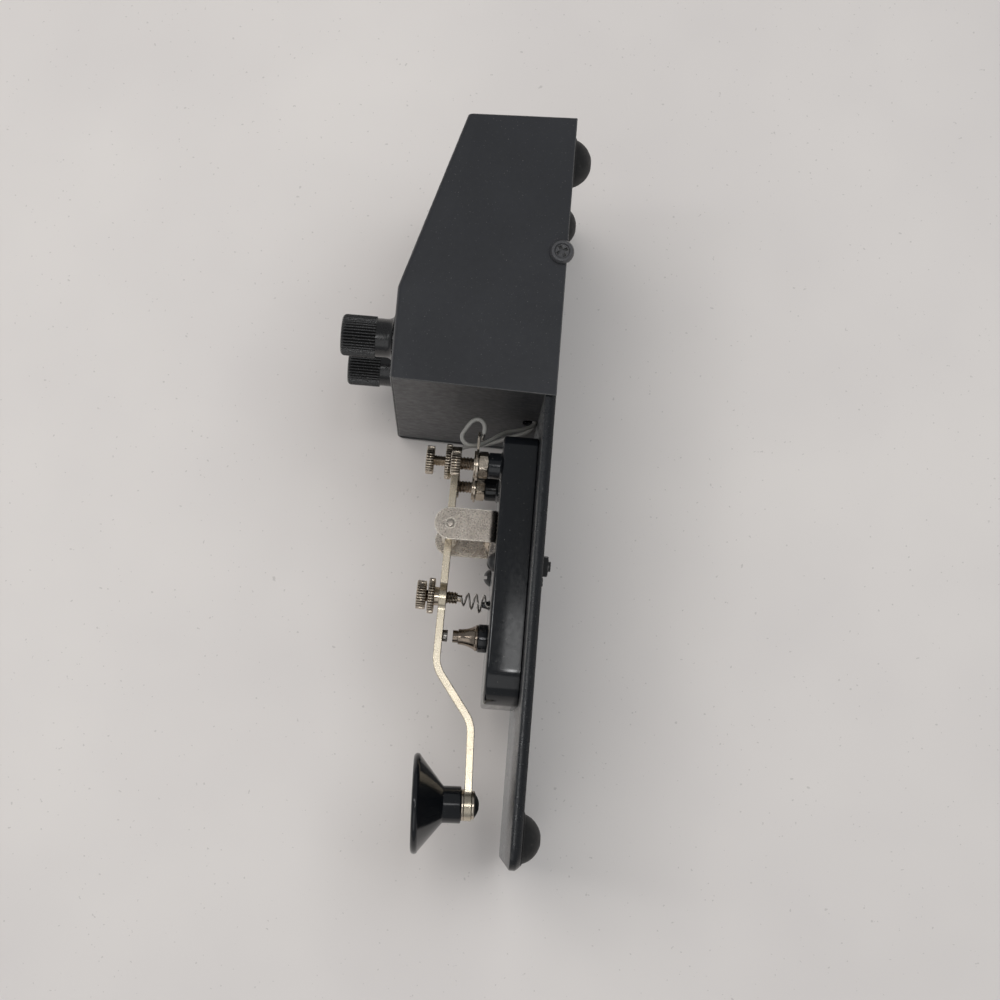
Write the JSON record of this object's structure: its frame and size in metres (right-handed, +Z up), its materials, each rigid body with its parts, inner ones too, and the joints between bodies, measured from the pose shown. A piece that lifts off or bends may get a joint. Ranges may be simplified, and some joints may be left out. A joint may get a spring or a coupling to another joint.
{
  "type": "morse code practice oscillator",
  "caption": "Morse practice oscillator: a straight key with sprung lever, bracket and round knob ahead of a sloping speaker cabinet with two controls, on one plate with rubber feet.",
  "frame": {"origin": "on the table, under the middle of the instrument's length and width", "axes": "+Z up from the feet, +Y from the key knob to the cabinet's rear, +X to the operator's right"},
  "size_m": [0.0992, 0.216, 0.0699],
  "materials": {
    "cabinet_paint": "textured charcoal enamel, matte",
    "plate_paint": "smooth dark enamel, glossy",
    "moulded_black": "moulded black phenolic, glossy",
    "dial_black": "moulded black plastic, satin",
    "blackened_steel": "black oxide",
    "nickel": "aged nickel plate",
    "steel": "plain steel",
    "foot_rubber": "black rubber",
    "cone_paper": "pressed paper",
    "board_green": "solder mask",
    "capacitor_blue": "printed sleeve",
    "resistor_tan": "lacquered ceramic",
    "wire_grey": "vinyl insulation"
  },
  "bodies": {
    "instrument": {"base_plate": "plate_paint", "rubber_feet": "foot_rubber", "cabinet_cover": "cabinet_paint", "front_panel": "cabinet_paint", "rear_panel": "cabinet_paint", "side_screws": "blackened_steel", "panel_screws": "steel", "volume_pot": "steel", "tone_pot": "steel", "pot_nuts": "nickel", "speaker_frame": "steel", "speaker_cone": "cone_paper", "speaker_magnet": "steel", "circuit_board": "board_green", "board_spacers": "steel", "board_screws": "steel", "oscillator_chip": "dial_black", "capacitors": "capacitor_blue", "resistors": "resistor_tan", "battery": "dial_black", "battery_snap": "dial_black", "battery_clip": "steel", "phone_jack": "dial_black", "power_jack": "dial_black", "jack_nuts": "nickel", "key_base": "moulded_black", "key_screws": "blackened_steel", "key_nuts": "blackened_steel", "bracket": "nickel", "bracket_screws": "nickel", "pivot_pin": "steel", "lower_contact": "nickel", "contact_washer": "moulded_black", "return_spring": "steel", "terminal_studs": "nickel", "terminal_nuts": "nickel", "solder_lugs": "nickel", "terminal_washers": "nickel", "thumb_nuts": "nickel", "near_wire": "wire_grey", "far_wire": "wire_grey"},
    "lever": {"lever": "nickel", "contact_stud": "steel", "tension_lock_nut": "nickel", "gap_lock_nut": "nickel", "key_knob": "moulded_black", "knob_screw": "blackened_steel", "knob_washers": "nickel"},
    "tension_screw": {"tension_screw": "nickel"},
    "gap_screw": {"gap_screw": "nickel"},
    "volume_control": {"volume_shaft": "steel", "volume_knob": "dial_black"},
    "tone_control": {"tone_shaft": "steel", "tone_knob": "dial_black"}
  },
  "joints": [
    {"name": "key_press", "type": "hinge", "parent": "instrument", "child": "lever", "pos_m": [0, -0.0099, 0.0328], "axis": [1, 0, 0], "range_deg": [0, 2.65], "stiffness_Nm_per_rad": 1, "springref_deg": -6.88, "deforming": ["return_spring"]},
    {"name": "tension_turn", "type": "hinge", "parent": "lever", "child": "tension_screw", "pos_m": [0, -0.0298, 0.03315], "axis": [0, 0.0175, 0.9998], "range_deg": [-180, 180]},
    {"name": "gap_turn", "type": "hinge", "parent": "lever", "child": "gap_screw", "pos_m": [0, 0.0119, 0.03242], "axis": [0, 0.0175, 0.9998], "range_deg": [-180, 180]},
    {"name": "volume_turn", "type": "hinge", "parent": "instrument", "child": "volume_control", "pos_m": [0.021, 0.0442, 0.0533], "axis": [0, 0, 1], "range_deg": [-150, 150]},
    {"name": "tone_turn", "type": "hinge", "parent": "instrument", "child": "tone_control", "pos_m": [-0.021, 0.0442, 0.0533], "axis": [0, 0, 1], "range_deg": [-150, 150]}
  ]
}
